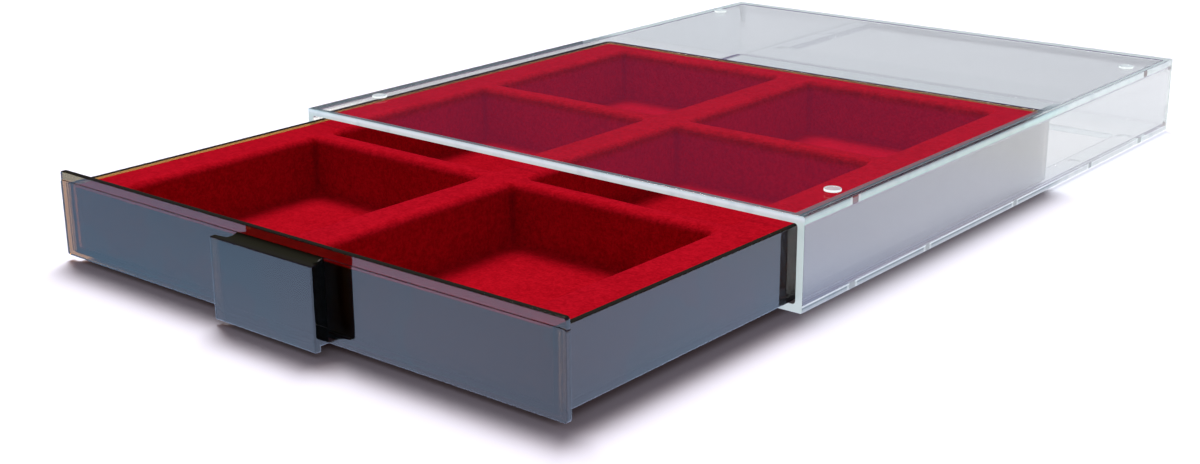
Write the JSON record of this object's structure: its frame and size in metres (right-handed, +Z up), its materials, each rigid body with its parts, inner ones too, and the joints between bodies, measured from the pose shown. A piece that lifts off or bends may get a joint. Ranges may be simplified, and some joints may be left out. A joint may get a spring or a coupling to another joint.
{
  "type": "coin box",
  "caption": "Clear flat case, open in front and stackable, with a smoked sliding drawer that carries a red flocked insert of square pockets for coins.",
  "frame": {"origin": "centre of the case's underside, in the middle of its four stacking recesses", "axes": "+Z up, +X to the right seen from the front, the drawer comes out towards -Y"},
  "size_m": [0.236, 0.4267, 0.0339],
  "materials": {
    "clear_plastic": "clear polished",
    "smoked_plastic": "smoked transparent polished",
    "red_flock": "flocked velvet"
  },
  "bodies": {
    "case": {"case": "clear_plastic"},
    "drawer": {"drawer": "smoked_plastic", "drawer_handle": "smoked_plastic", "coin_insert": "red_flock"}
  },
  "joints": [
    {"name": "drawer_slide", "type": "slide", "parent": "case", "child": "drawer", "axis": [0, -1, 0], "range_m": [-0.1131, 0.18]}
  ]
}
